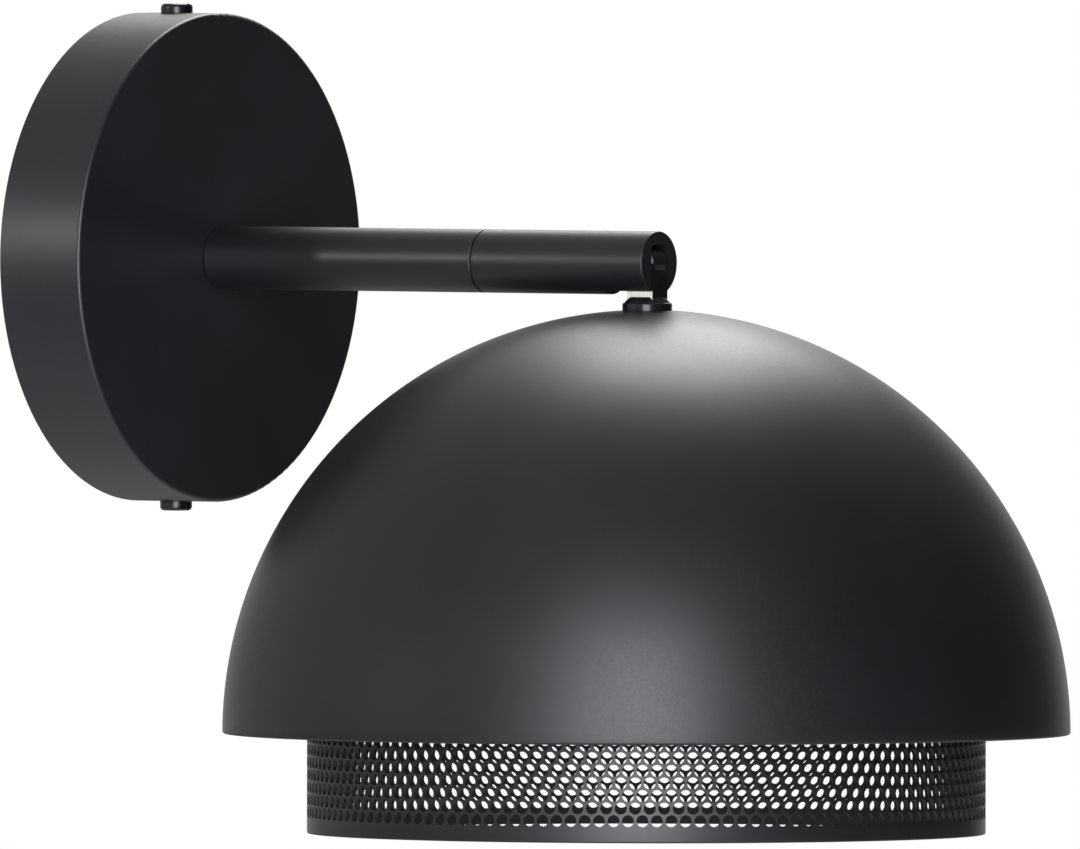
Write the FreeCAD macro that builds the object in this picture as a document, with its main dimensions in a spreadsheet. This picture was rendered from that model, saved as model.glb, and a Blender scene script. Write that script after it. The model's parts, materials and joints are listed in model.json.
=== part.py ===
import FreeCAD, Part
import math
import os

# Hanging pendant wall sconce: a round wall cup, a straight arm with a turning
# fork head, and a dome shade with a band drum below its rim.
#
# Frame: millimetres. The origin is the centre of the cup's back edge, on the
# wall. +Z is up, +X is sideways and the arm stands out along -Y.

Vector = FreeCAD.Vector
Rotation = FreeCAD.Rotation

doc = FreeCAD.newDocument("wall_sconce")

# Driving dimensions -------------------------------------------------------
DIMENSIONS = {
    # wall cup
    "cup_diameter": 116.0,
    "cup_depth": 23.0,
    "cup_wall": 1.2,
    "cup_edge_radius": 1.0,
    "cup_slot_width": 4.6,
    "cup_hole_clearance": 0.1,
    "cut_overrun": 1.0,
    # wall bracket
    "bracket_sheet": 2.0,
    "bracket_width": 22.0,
    "bracket_ear_width": 14.0,
    "bracket_ear_depth": 16.0,
    "bracket_ear_clearance": 0.3,
    "cable_hole_diameter": 14.0,
    "wall_slot_spacing": 70.0,
    "wall_slot_length": 12.0,
    "wall_slot_width": 5.0,
    # screws that hold the cup
    "cover_screw_diameter": 4.0,
    "cover_screw_length": 9.0,
    "cover_screw_head_diameter": 7.6,
    "cover_screw_head_height": 2.2,
    "cover_screw_head_rounding": 1.0,
    "cover_screw_setback": 10.0,
    "screw_drive_width": 1.0,
    "screw_drive_depth": 0.9,
    # terminal block and earth point
    "terminal_width": 24.0,
    "terminal_depth": 11.0,
    "terminal_height": 15.0,
    "terminal_centre_up": 21.0,
    "terminal_pitch": 8.0,
    "terminal_row_spacing": 8.0,
    "terminal_well_diameter": 3.6,
    "terminal_well_depth": 6.0,
    "terminal_screw_diameter": 3.0,
    "terminal_screw_length": 4.5,
    "fixing_screw_diameter": 3.0,
    "fixing_head_diameter": 5.2,
    "fixing_head_height": 1.8,
    "fixing_hole_clearance": 0.1,
    "wall_clearance": 0.3,
    "earth_point_down": 21.0,
    "earth_screw_diameter": 4.0,
    "earth_head_diameter": 7.6,
    "earth_head_height": 2.4,
    "earth_washer_diameter": 9.0,
    "earth_washer_sheet": 0.8,
    # threads of the arm's hollow parts
    "nipple_diameter": 10.0,
    "nipple_bore": 7.0,
    "nipple_projection": 0.5,
    "nut_flats": 14.0,
    "nut_height": 3.0,
    "washer_diameter": 18.0,
    "washer_sheet": 1.0,
    # arm
    "arm_diameter": 15.0,
    "arm_wall": 1.25,
    "arm_edge_radius": 0.4,
    "arm_tube_length": 77.0,
    "insert_length": 10.0,
    "seam_gap": 0.15,
    # swivel
    "bush_length": 10.0,
    "swivel_clearance": 0.05,
    "swivel_washer_sheet": 0.5,
    "swivel_nut_diameter": 12.0,
    "swivel_nut_height": 3.0,
    "swivel_play": 0.05,
    "spigot_grip": 12.0,
    "stop_pin_diameter": 1.0,
    "stop_groove_diameter": 12.0,
    "stop_groove_depth": 2.0,
    "stop_rib_width": 1.2,
    "stop_pin_clearance": 0.1,
    # fork
    "seam_to_pivot": 45.85,
    "fork_end_beyond_pivot": 3.5,
    "fork_slot_width": 7.0,
    "fork_slot_top": 4.3,
    "fork_slot_corner": 1.5,
    "fork_slot_behind_pivot": 10.0,
    "channel_diameter": 4.4,
    "pivot_diameter": 3.0,
    "pivot_head_diameter": 5.6,
    "pivot_head_height": 1.6,
    "pivot_head_clearance": 0.15,
    "pivot_head_sink": 0.45,
    "pivot_near_cheek_depth": 2.0,
    "pivot_clearance": 0.05,
    "friction_washer_diameter": 5.4,
    "friction_washer_sheet": 0.35,
    # tongue and stem
    "tongue_thickness": 6.2,
    "tongue_width": 7.3,
    "tongue_head_radius": 4.0,
    "tongue_head_rounding": 1.3,
    "foot_top_below_pivot": 9.4,
    "foot_diameter": 11.8,
    "foot_height": 1.8,
    "foot_edge_radius": 0.4,
    "foot_cone_height": 1.4,
    "foot_cone_top_diameter": 8.4,
    "stem_length": 13.5,
    "stem_hole_clearance": 0.1,
    # lead
    "lead_diameter": 3.0,
    "lead_clearance": 0.25,
    "lead_bend_drop": 5.2,
    "lead_gap": 0.4,
    "lead_end_behind_pivot": 6.6,
    "lead_end_below_cap": 3.0,
    "lead_channel_overrun": 3.0,
    # dome shade
    "shade_diameter": 200.0,
    "shade_wall": 1.2,
    "shade_flat_drop": 0.2,
    "shade_washer_gap": 0.03,
    # lampholder
    "cap_top_diameter": 26.0,
    "cap_diameter": 40.0,
    "cap_neck_height": 6.0,
    "cap_taper_height": 4.0,
    "cap_skirt_height": 9.0,
    "cap_wall": 2.0,
    "holder_diameter": 39.0,
    "holder_wall": 2.0,
    "holder_spigot_length": 5.0,
    "holder_lip_height": 2.0,
    "core_height": 8.0,
    "wire_hole_diameter": 3.0,
    "wire_hole_offset": 8.0,
    "socket_bore": 26.6,
    "socket_sheet": 0.4,
    "socket_length": 17.5,
    "socket_setback": 0.3,
    "contact_diameter": 7.0,
    "contact_sheet": 0.6,
    "contact_post_diameter": 3.0,
    "contact_post_height": 1.6,
    "core_skirt_height": 4.2,
    # carrier and drum
    "ring_diameter": 54.0,
    "ring_height": 4.0,
    "mouth_below_ring": 6.5,
    "carrier_sheet": 1.5,
    "carrier_hole_clearance": 0.3,
    "carrier_hub_diameter": 56.0,
    "carrier_arm_width": 12.0,
    "carrier_tab_length": 14.0,
    "drum_inset": 20.0,
    "drum_wall": 0.8,
    "drum_below_rim": 23.5,
    "drum_dome_gap": 3.0,
    "drum_below_carrier": 2.8,
    "drum_lower_hem": 3.8,
    "drum_web": 3.3,
    "rivet_diameter": 3.2,
    "rivet_head_diameter": 6.0,
    "rivet_head_height": 1.0,
    "rivet_tail_diameter": 4.8,
    "rivet_tail_height": 1.0,
    "rivet_drop": 9.0,
}

CARRIER_ARMS = 3
TERMINAL_POLES = 3
DRUM_COLUMNS = 24
DRUM_ROWS = 3
BEND_SHARE = 0.3

sizes = doc.addObject("Spreadsheet::Sheet", "Sizes")
for row, (alias, size) in enumerate(DIMENSIONS.items(), start=1):
    sizes.set(f"A{row}", alias)
    sizes.set(f"B{row}", str(size))
    sizes.setAlias(f"B{row}", alias)
doc.recompute()


def value(text):
    """The number that an expression over the sheet's sizes gives."""
    return float(sizes.evalExpression(spell(text)))


def spell(text):
    """An expression with each size's word written as a cell of the sheet."""
    words = []
    word = ""
    for letter in text + " ":
        if letter.isalnum() or letter == "_":
            word += letter
            continue
        words.append(f"Sizes.{word}" if word in DIMENSIONS else word)
        words.append(letter)
        word = ""
    return "".join(words).strip()


# Places that several pieces share ------------------------------------------
CUP_RADIUS = "(cup_diameter / 2)"
CUP_INNER_RADIUS = "(cup_diameter / 2 - cup_wall)"
EAR_TOP = (f"(sqrt({CUP_INNER_RADIUS} ^ 2 - (bracket_ear_width / 2) ^ 2)"
           " - bracket_ear_clearance)")
CUP_BACK_OF_FACE = "(cup_depth - cup_wall)"
NIPPLE_START = f"({CUP_BACK_OF_FACE} - washer_sheet - nut_height - nipple_projection)"
ARM_INNER_DIAMETER = "(arm_diameter - 2 * arm_wall)"
SEAM = "(cup_depth + arm_tube_length)"
HEAD_START = f"({SEAM} + seam_gap)"
PIVOT_REACH = f"({HEAD_START} + seam_to_pivot)"
HEAD_END = f"({PIVOT_REACH} + fork_end_beyond_pivot)"
SLOT_REAR = f"({PIVOT_REACH} - fork_slot_behind_pivot)"
PIVOT_HEAD_SEAT = "(arm_diameter / 2 - pivot_head_height - pivot_head_sink)"
BUSH_REAR = f"({SEAM} - bush_length)"
SWIVEL_BORE = "(nipple_diameter + 2 * swivel_clearance)"
WASHER_REAR = f"({BUSH_REAR} - swivel_play - swivel_washer_sheet)"
SPIGOT_START = f"({WASHER_REAR} - swivel_nut_height - nipple_projection)"

# Below the pivot, everything hangs from the foot and follows the dome's radius.
DOME_RADIUS = "(shade_diameter / 2)"
DOME_INNER_RADIUS = f"({DOME_RADIUS} - shade_wall)"
FOOT_TOP_DROP = "(foot_top_below_pivot)"
SEAT_DROP = f"({FOOT_TOP_DROP} + foot_height)"
RIM_DROP = f"({SEAT_DROP} - shade_flat_drop + {DOME_RADIUS})"
SHADE_WASHER_DROP = (f"({RIM_DROP} - sqrt({DOME_INNER_RADIUS} ^ 2"
                     " - (washer_diameter / 2) ^ 2) + shade_washer_gap)")
SHADE_NUT_DROP = f"({SHADE_WASHER_DROP} + washer_sheet)"
CAP_DROP = f"({SHADE_NUT_DROP} + nut_height)"
CAP_TAPER_DROP = f"({CAP_DROP} + cap_neck_height)"
CAP_SKIRT_DROP = f"({CAP_TAPER_DROP} + cap_taper_height)"
HOLDER_DROP = f"({CAP_SKIRT_DROP} + cap_skirt_height)"
STEM_END_DROP = f"({SEAT_DROP} + stem_length)"

# The drum's top goes as high as the dome lets it, and its carrier, the rings and
# the lampholder's mouth follow.
DRUM_DIAMETER = "(shade_diameter - 2 * drum_inset)"
DRUM_INNER_RADIUS = f"({DRUM_DIAMETER} / 2 - drum_wall)"
DRUM_TOP_DROP = (f"({RIM_DROP} - sqrt({DOME_INNER_RADIUS} ^ 2"
                 f" - ({DRUM_DIAMETER} / 2 + drum_dome_gap) ^ 2))")
DRUM_BOTTOM_DROP = f"({RIM_DROP} + drum_below_rim)"
DRUM_HEIGHT = f"({DRUM_BOTTOM_DROP} - {DRUM_TOP_DROP})"
CARRIER_DROP = f"({DRUM_TOP_DROP} - drum_below_carrier)"
UPPER_RING_DROP = f"({CARRIER_DROP} - ring_height)"
LOWER_RING_DROP = f"({CARRIER_DROP} + carrier_sheet)"
RIVET_DROP = f"({CARRIER_DROP} + rivet_drop)"
MOUTH_DROP = f"({LOWER_RING_DROP} + ring_height + mouth_below_ring)"
SLEEVE_DROP = f"({MOUTH_DROP} - socket_setback - socket_length)"
SOCKET_DROP = f"({SLEEVE_DROP} - contact_sheet - contact_post_height)"
SLEEVE_DIAMETER = "(socket_bore + 2 * socket_sheet)"
CAVITY_DIAMETER = "(cap_diameter - 2 * cap_wall)"
HOLDER_BORE = f"({CAVITY_DIAMETER} - 2 * holder_wall)"

SHADE_AXIS = f"-{PIVOT_REACH}"
ALONG = {
    "X": Rotation(Vector(0, 1, 0), 90),
    "Y": Rotation(Vector(1, 0, 0), 90),
    "Z": Rotation(),
}


# Small makers -----------------------------------------------------------------
def bind(thing, **sized):
    for name, text in sized.items():
        thing.setExpression(name.replace("__", "."), spell(text))
    return thing


def place(thing, x="0", y="0", z="0", along="Z"):
    """Along X goes to +X, along Y goes out from the wall (-Y), along Z goes up."""
    thing.Placement = FreeCAD.Placement(Vector(), ALONG[along])
    return bind(thing, Placement__Base__x=x, Placement__Base__y=y, Placement__Base__z=z)


def rod(name, diameter, length, x="0", y="0", z="0", along="Z"):
    thing = doc.addObject("Part::Cylinder", name)
    bind(thing, Radius=f"({diameter}) / 2", Height=length)
    return place(thing, x, y, z, along)


def taper(name, start_diameter, end_diameter, length, x="0", y="0", z="0", along="Z"):
    thing = doc.addObject("Part::Cone", name)
    bind(thing, Radius1=f"({start_diameter}) / 2", Radius2=f"({end_diameter}) / 2",
         Height=length)
    return place(thing, x, y, z, along)


def block(name, x, y, z):
    """A box from three pairs: where each side starts and how long it is."""
    thing = doc.addObject("Part::Box", name)
    bind(thing, Length=x[1], Width=y[1], Height=z[1])
    return place(thing, x[0], y[0], z[0])


def middle(width):
    return (f"-({width}) / 2", width)


def joined(name, *pieces):
    thing = doc.addObject("Part::MultiFuse", name)
    thing.Shapes = list(pieces)
    thing.Refine = True
    return thing


def cut(name, base, *tools):
    thing = doc.addObject("Part::Cut", name)
    thing.Base = base
    thing.Tool = tools[0] if len(tools) == 1 else joined(f"{name}_tools", *tools)
    thing.Refine = True
    return thing


def together(name, *pieces):
    thing = doc.addObject("Part::Compound", name)
    thing.Links = list(pieces)
    return thing


def rounded(name, base, radius, chosen):
    """Fillet the edges of base that chosen(edge) picks."""
    doc.recompute()
    amount = value(radius)
    picked = [number for number, edge in enumerate(base.Shape.Edges, start=1)
              if chosen(edge)]
    if not picked:
        raise ValueError(f"{name}: no edge to round")
    thing = doc.addObject("Part::Fillet", name)
    thing.Base = base
    thing.Edges = [(number, amount, amount) for number in picked]
    return thing


def ring_edge(radius, axis, at):
    """Pick the round edges of one radius that lie at one place along an axis."""
    def chosen(edge):
        curve = edge.Curve
        if not isinstance(curve, Part.Circle):
            return False
        return (abs(curve.Radius - value(radius)) < 1e-4
                and abs(curve.Center.dot(axis) - value(at)) < 1e-4)
    return chosen


def tube(name, outer, inner, length, **where):
    return cut(name, rod(f"{name}_outer", outer, length, **where),
               rod(f"{name}_inner", inner, length, **where))


def hexagon(name, flats, length, x="0", y="0", z="0", along="Z"):
    thing = doc.addObject("Part::Prism", name)
    thing.Polygon = 6
    bind(thing, Circumradius=f"({flats}) / sqrt(3)", Height=length)
    return place(thing, x, y, z, along)


def hex_nut(name, **where):
    body = hexagon(f"{name}_body", "nut_flats", "nut_height", **where)
    return cut(name, body, rod(f"{name}_bore", "nipple_diameter", "nut_height", **where))


def at_drop(drop):
    """A place on the shade's axis, so far below the pivot."""
    return {"y": SHADE_AXIS, "z": f"-({drop})"}


def solid_feature(name, shape):
    thing = doc.addObject("Part::Feature", name)
    thing.Shape = shape
    thing.Placement = FreeCAD.Placement()
    return thing


def lead_route():
    """Pivot-centred points of the lead: up the stem, round the bend and back."""
    bend = value("lead_bend_drop")
    return [Vector(0, 0, -value(f"{CAP_SKIRT_DROP} + lead_end_below_cap")),
            Vector(0, 0, -bend),
            Vector(0, bend, 0),
            Vector(0, value("lead_end_behind_pivot + lead_channel_overrun"), 0)]


def bent_pipe(points, diameter):
    """A round pipe along straight runs joined by tangent arcs."""
    edges = []
    start = points[0]
    for before, corner, after in zip(points, points[1:], points[2:]):
        back = (before - corner)
        ahead = (after - corner)
        half_turn = (math.pi - back.getAngle(ahead)) / 2
        trim = BEND_SHARE * min(back.Length, ahead.Length)
        radius = trim / math.tan(half_turn)
        back.normalize()
        ahead.normalize()
        arc_start = corner + back * trim
        arc_end = corner + ahead * trim
        inward = (back + ahead).normalize()
        arc_middle = corner + inward * (radius / math.cos(half_turn) - radius)
        edges.append(Part.LineSegment(start, arc_start).toShape())
        edges.append(Part.Arc(arc_start, arc_middle, arc_end).toShape())
        start = arc_end
    edges.append(Part.LineSegment(start, points[-1]).toShape())
    path = Part.Wire(edges)
    heading = (points[1] - points[0]).normalize()
    section = Part.Wire(Part.Circle(points[0], heading, diameter / 2).toShape())
    return path.makePipeShell([section], True, False)


# Wall cup and its bracket ---------------------------------------------------------
def make_wall_cup():
    body = rod("cup_body", "cup_diameter", "cup_depth", along="Y")
    hollow = rod("cup_hollow", "cup_diameter - 2 * cup_wall", CUP_BACK_OF_FACE, along="Y")
    arm_hole = rod("cup_arm_hole", "nipple_diameter + 2 * cup_hole_clearance",
                   "cup_depth", along="Y")
    screw_slot = block("cup_screw_slot", middle("cup_slot_width"),
                       ("-cover_screw_setback", "cover_screw_setback"),
                       middle("cup_diameter + 2 * cut_overrun"))
    slot_end = rod("cup_slot_end", "cup_slot_width", "cup_diameter + 2 * cut_overrun",
                   y="-cover_screw_setback", z=f"-{CUP_RADIUS} - cut_overrun")
    soft_edge = rounded("cup_soft_edge", body, "cup_edge_radius",
                        ring_edge(CUP_RADIUS, Vector(0, -1, 0), "cup_depth"))
    return cut("wall_cup", soft_edge, hollow, arm_hole, screw_slot, slot_end)


def make_wall_bracket():
    strip = block("bracket_strip", middle("bracket_width"),
                  ("-bracket_sheet", "bracket_sheet"), middle(f"2 * {EAR_TOP}"))
    sides = block("bracket_ear_blank", middle("bracket_ear_width"),
                  ("-bracket_ear_depth", "bracket_ear_depth"), middle(f"2 * {EAR_TOP}"))
    between = block("bracket_between_ears", middle("bracket_width + 2 * cut_overrun"),
                    ("-bracket_ear_depth - cut_overrun",
                     "bracket_ear_depth + cut_overrun - bracket_sheet"),
                    middle(f"2 * ({EAR_TOP} - bracket_sheet)"))
    inside_cup = rod("bracket_inside_cup", f"2 * ({CUP_INNER_RADIUS} - bracket_ear_clearance)",
                     "bracket_ear_depth", along="Y")
    ears = cut("bracket_ears", sides, between)
    blank = joined("bracket_blank", strip, ears)
    shaped = doc.addObject("Part::Common", "bracket_shaped")
    shaped.Base = blank
    shaped.Tool = inside_cup
    tools = [
        rod("bracket_cable_hole", "cable_hole_diameter", "bracket_sheet", along="Y"),
        rod("bracket_ear_thread", "cover_screw_diameter", "cup_diameter",
            y="-cover_screw_setback", z=f"-{CUP_RADIUS}"),
        rod("bracket_terminal_thread", "fixing_screw_diameter", "bracket_sheet",
            x="terminal_pitch / 2", z="terminal_centre_up", along="Y"),
        rod("bracket_earth_thread", "earth_screw_diameter", "bracket_sheet",
            z="-earth_point_down", along="Y"),
    ]
    for side, sign in (("upper", ""), ("lower", "-")):
        centre = f"{sign}wall_slot_spacing / 2"
        straight = "(wall_slot_length - wall_slot_width)"
        tools.append(block(f"bracket_{side}_slot", middle("wall_slot_width"),
                           ("-bracket_sheet", "bracket_sheet"),
                           (f"{centre} - {straight} / 2", straight)))
        for end, step in (("top", "+"), ("foot", "-")):
            tools.append(rod(f"bracket_{side}_slot_{end}", "wall_slot_width",
                             "bracket_sheet", z=f"{centre} {step} {straight} / 2",
                             along="Y"))
    return cut("wall_bracket", shaped, *tools)


def make_cover_screws():
    screws = []
    for side, sign, turn in (("upper", 1, 0), ("lower", -1, 180)):
        shank = rod(f"{side}_screw_shank", "cover_screw_diameter", "cover_screw_length",
                    z=f"{CUP_RADIUS} - cover_screw_length")
        head = rod(f"{side}_screw_head", "cover_screw_head_diameter",
                   "cover_screw_head_height", z=CUP_RADIUS)
        soft_head = rounded(
            f"{side}_screw_soft_head", head, "cover_screw_head_rounding",
            ring_edge("cover_screw_head_diameter / 2", Vector(0, 0, 1),
                      f"{CUP_RADIUS} + cover_screw_head_height"))
        drive = block(f"{side}_screw_drive", middle("screw_drive_width"),
                      middle("cover_screw_head_diameter"),
                      (f"{CUP_RADIUS} + cover_screw_head_height - screw_drive_depth",
                       "screw_drive_depth"))
        screw = cut(f"{side}_cover_screw", joined(f"{side}_screw_body", shank, soft_head),
                    drive)
        screw.Placement = FreeCAD.Placement(Vector(), Rotation(Vector(0, 1, 0), turn))
        bind(screw, Placement__Base__y="-cover_screw_setback")
        screws.append(screw)
    return together("cover_screws", *screws)


# Terminal block and earth point ----------------------------------------------------
TERMINAL_FRONT = "(bracket_sheet + terminal_depth)"


def terminal_places():
    half = (TERMINAL_POLES - 1) / 2
    for pole in range(TERMINAL_POLES):
        for row, sign in (("upper", "+"), ("lower", "-")):
            yield (f"{row}_{pole + 1}", f"{pole - half} * terminal_pitch",
                   f"terminal_centre_up {sign} terminal_row_spacing / 2")


def make_terminal_block():
    body = block("terminal_body", middle("terminal_width"),
                 (f"-{TERMINAL_FRONT}", "terminal_depth"),
                 ("terminal_centre_up - terminal_height / 2", "terminal_height"))
    tools = [
        rod("terminal_fixing_hole", "fixing_screw_diameter + 2 * fixing_hole_clearance",
            "terminal_depth", x="terminal_pitch / 2", y="-bracket_sheet",
            z="terminal_centre_up", along="Y"),
    ]
    for label, x, z in terminal_places():
        tools.append(rod(f"terminal_well_{label}", "terminal_well_diameter",
                         "terminal_well_depth", x=x,
                         y=f"-({TERMINAL_FRONT} - terminal_well_depth)", z=z, along="Y"))
    return cut("terminal_block", body, *tools)


def make_terminal_screws():
    screws = []
    for label, x, z in terminal_places():
        floor = f"({TERMINAL_FRONT} - terminal_well_depth)"
        shank = rod(f"terminal_shank_{label}", "terminal_screw_diameter",
                    "terminal_screw_length", x=x, y=f"-{floor}", z=z, along="Y")
        drive = block(f"terminal_drive_{label}",
                      (f"{x} - screw_drive_width / 2", "screw_drive_width"),
                      (f"-({floor} + terminal_screw_length)", "screw_drive_depth"),
                      (f"{z} - terminal_screw_diameter / 2", "terminal_screw_diameter"))
        screws.append(cut(f"terminal_screw_{label}", shank, drive))
    return together("terminal_screws", *screws)


def make_wall_side_screw(name, diameter, head_diameter, head_height, seat, x, z):
    """A screw driven towards the wall, whose point stops short of the wall."""
    shank = rod(f"{name}_shank", diameter, f"{seat} - wall_clearance",
                x=x, y="-wall_clearance", z=z, along="Y")
    head = rod(f"{name}_head", head_diameter, head_height, x=x, y=f"-({seat})", z=z,
               along="Y")
    drive = block(f"{name}_drive", (f"{x} - screw_drive_width / 2", "screw_drive_width"),
                  (f"-({seat} + {head_height})", "screw_drive_depth"),
                  (f"{z} - {head_diameter} / 2", head_diameter))
    return cut(name, joined(f"{name}_body", shank, head), drive)


def make_terminal_fixing_screw():
    return make_wall_side_screw("terminal_fixing_screw", "fixing_screw_diameter",
                                "fixing_head_diameter", "fixing_head_height",
                                TERMINAL_FRONT, "terminal_pitch / 2",
                                "terminal_centre_up")


def make_earth_screw():
    return make_wall_side_screw("earth_screw", "earth_screw_diameter",
                                "earth_head_diameter", "earth_head_height",
                                "bracket_sheet + earth_washer_sheet", "0",
                                "-earth_point_down")


def make_earth_washer():
    return tube("earth_washer", "earth_washer_diameter",
                "earth_screw_diameter + 2 * fixing_hole_clearance",
                "earth_washer_sheet", y="-bracket_sheet", z="-earth_point_down",
                along="Y")


# Arm ----------------------------------------------------------------------------
def make_arm_nipple():
    return tube("arm_nipple", "nipple_diameter", "nipple_bore",
                f"cup_depth + insert_length - {NIPPLE_START}",
                y=f"-{NIPPLE_START}", along="Y")


def make_arm_washer():
    return tube("arm_washer", "washer_diameter", "nipple_diameter + 2 * cup_hole_clearance",
                "washer_sheet", y=f"-({CUP_BACK_OF_FACE} - washer_sheet)", along="Y")


def make_arm_lock_nut():
    return hex_nut("arm_lock_nut",
                   y=f"-({CUP_BACK_OF_FACE} - washer_sheet - nut_height)", along="Y")


def make_arm_root_insert():
    return tube("arm_root_insert", ARM_INNER_DIAMETER, "nipple_diameter", "insert_length",
                y="-cup_depth", along="Y")


def make_arm_tube():
    outer = rod("arm_tube_outer", "arm_diameter", "arm_tube_length", y="-cup_depth",
                along="Y")
    outward = Vector(0, -1, 0)
    at_root = ring_edge("arm_diameter / 2", outward, "cup_depth")
    at_seam = ring_edge("arm_diameter / 2", outward, SEAM)
    soft = rounded("arm_tube_soft_ends", outer, "arm_edge_radius",
                   lambda edge: at_root(edge) or at_seam(edge))
    bore = rod("arm_tube_bore", ARM_INNER_DIAMETER, "arm_tube_length", y="-cup_depth",
               along="Y")
    return cut("arm_tube", soft, bore)


def make_arm_front_bush():
    body = tube("bush_body", ARM_INNER_DIAMETER, SWIVEL_BORE, "bush_length",
                y=f"-{BUSH_REAR}", along="Y")
    groove = rod("bush_groove", "stop_groove_diameter", "stop_groove_depth",
                 y=f"-{BUSH_REAR}", along="Y")
    rib = block("bush_stop_rib", middle("stop_rib_width"),
                (f"-({BUSH_REAR} + stop_groove_depth)", "stop_groove_depth"),
                ("-stop_groove_diameter / 2", f"(stop_groove_diameter - {SWIVEL_BORE}) / 2"))
    return cut("arm_front_bush", body, cut("bush_open_groove", groove, rib))


def make_arm_lead():
    return rod("arm_lead", "lead_diameter", f"{SPIGOT_START} - {NIPPLE_START}",
               y=f"-{NIPPLE_START}", along="Y")


# Swivel and fork head -------------------------------------------------------------
def make_swivel_spigot():
    body = tube("spigot_body", "nipple_diameter", "nipple_bore",
                f"{HEAD_START} + spigot_grip - {SPIGOT_START}",
                y=f"-{SPIGOT_START}", along="Y")
    return cut("swivel_spigot", body, rod("spigot_pin_hole", "stop_pin_diameter",
                                          "nipple_diameter / 2",
                                          y=f"-({BUSH_REAR} + stop_groove_depth / 2)"))


def make_swivel_stop_pin():
    return rod("swivel_stop_pin", "stop_pin_diameter",
               "(stop_groove_diameter - nipple_bore) / 2 - stop_pin_clearance",
               y=f"-({BUSH_REAR} + stop_groove_depth / 2)", z="nipple_bore / 2")


def make_swivel_washer():
    return tube("swivel_washer", "swivel_nut_diameter", "nipple_diameter",
                "swivel_washer_sheet", y=f"-{WASHER_REAR}", along="Y")


def make_swivel_nut():
    start = f"({WASHER_REAR} - swivel_nut_height)"
    body = tube("swivel_nut_body", "swivel_nut_diameter", "nipple_diameter",
                "swivel_nut_height", y=f"-{start}", along="Y")
    spanner_slot = block("swivel_nut_slot", middle("swivel_nut_diameter"),
                         (f"-({start} + swivel_nut_height / 3)", "swivel_nut_height / 3"),
                         middle("screw_drive_width"))
    return cut("swivel_nut", body, spanner_slot)


def make_arm_head():
    outer = rod("head_outer", "arm_diameter", f"{HEAD_END} - {HEAD_START}",
                y=f"-{HEAD_START}", along="Y")
    outward = Vector(0, -1, 0)
    at_seam = ring_edge("arm_diameter / 2", outward, HEAD_START)
    at_end = ring_edge("arm_diameter / 2", outward, HEAD_END)
    soft = rounded("head_soft_ends", outer, "arm_edge_radius",
                   lambda edge: at_seam(edge) or at_end(edge))
    spigot_bore = rod("head_spigot_bore", "nipple_diameter", "spigot_grip",
                      y=f"-{HEAD_START}", along="Y")
    channel = rod("head_channel", "channel_diameter", f"{SLOT_REAR} - {HEAD_START}",
                  y=f"-{HEAD_START}", along="Y")
    slot = block("head_slot", middle("fork_slot_width"),
                 (f"-({HEAD_END} + cut_overrun)", f"{HEAD_END} - {SLOT_REAR} + cut_overrun"),
                 ("-arm_diameter / 2 - cut_overrun",
                  "fork_slot_top + arm_diameter / 2 + cut_overrun"))
    soft_slot = rounded("head_soft_slot", slot, "fork_slot_corner", is_slot_roof_edge)
    pivot_hole = rod("head_pivot_hole", "pivot_diameter",
                     "arm_diameter - pivot_near_cheek_depth",
                     x="-arm_diameter / 2 + pivot_near_cheek_depth", y=SHADE_AXIS,
                     along="X")
    head_well = rod("head_screw_well", "pivot_head_diameter + 2 * pivot_head_clearance",
                    "arm_diameter / 2", x=PIVOT_HEAD_SEAT, y=SHADE_AXIS, along="X")
    return cut("arm_head", soft, spigot_bore, channel, soft_slot, pivot_hole, head_well)


def is_slot_roof_edge(edge):
    """The slot's two top edges, which run along the arm."""
    if len(edge.Vertexes) != 2:
        return False
    first, last = (vertex.Point for vertex in edge.Vertexes)
    runs_along = abs(first.x - last.x) < 1e-6 and abs(first.z - last.z) < 1e-6
    return runs_along and abs(first.z - value("fork_slot_top")) < 1e-6


def make_pivot_screw():
    shank = rod("pivot_shank", "pivot_diameter",
                f"{PIVOT_HEAD_SEAT} + arm_diameter / 2 - pivot_near_cheek_depth",
                x="-arm_diameter / 2 + pivot_near_cheek_depth", y=SHADE_AXIS, along="X")
    head = rod("pivot_head", "pivot_head_diameter", "pivot_head_height",
               x=PIVOT_HEAD_SEAT, y=SHADE_AXIS, along="X")
    drive = block("pivot_drive",
                  (f"{PIVOT_HEAD_SEAT} + pivot_head_height - screw_drive_depth",
                   "screw_drive_depth"),
                  (f"{SHADE_AXIS} - pivot_head_diameter / 2", "pivot_head_diameter"),
                  middle("screw_drive_width"))
    return cut("pivot_screw", joined("pivot_body", shank, head), drive)


def make_friction_washers():
    inner = "pivot_diameter + 2 * pivot_clearance"
    near = tube("near_friction_washer", "friction_washer_diameter", inner,
                "friction_washer_sheet", x="-fork_slot_width / 2", y=SHADE_AXIS,
                along="X")
    far = tube("far_friction_washer", "friction_washer_diameter", inner,
               "friction_washer_sheet", x="fork_slot_width / 2 - friction_washer_sheet",
               y=SHADE_AXIS, along="X")
    return together("friction_washers", near, far)


def make_head_lead():
    end = f"({PIVOT_REACH} - lead_end_behind_pivot - lead_gap)"
    return rod("head_lead", "lead_diameter", f"{end} - {SPIGOT_START}",
               y=f"-{SPIGOT_START}", along="Y")


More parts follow.
